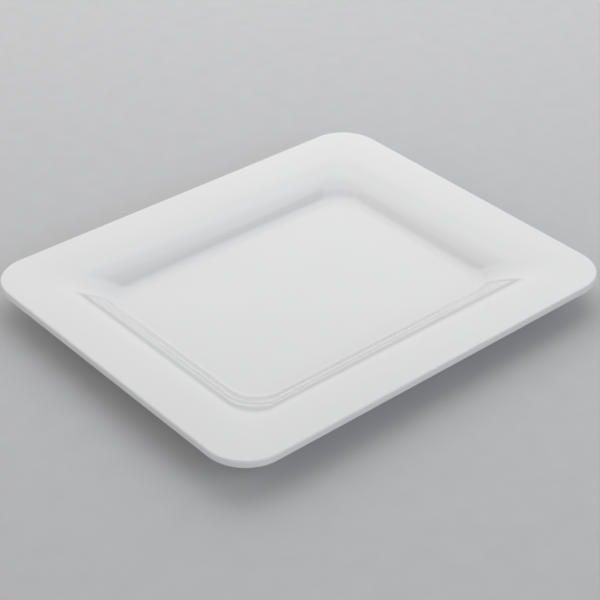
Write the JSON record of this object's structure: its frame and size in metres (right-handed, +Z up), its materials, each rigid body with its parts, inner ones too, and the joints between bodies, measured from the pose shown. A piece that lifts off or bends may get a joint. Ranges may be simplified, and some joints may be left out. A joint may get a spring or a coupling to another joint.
{
  "type": "buffet tray",
  "caption": "Rectangular white melamine buffet tray: broad flat rim with rounded corners, rolled wall, shallow flat-floored well and non-slip feet.",
  "frame": {"origin": "middle of the footprint, on the surface that the tray stands on", "axes": "+X along the long side, +Y along the short side, +Z up out of the well"},
  "size_m": [0.325, 0.265, 0.0224],
  "materials": {
    "melamine": "satin moulded white melamine",
    "glaze": "glossy white melamine glaze",
    "silicone": "matte grey silicone"
  },
  "bodies": {
    "root": {"tray_body": "melamine", "glaze_overlay": "glaze", "foot_pad_front_left": "silicone", "foot_pad_front_right": "silicone", "foot_pad_rear_left": "silicone", "foot_pad_rear_right": "silicone"}
  },
  "joints": []
}
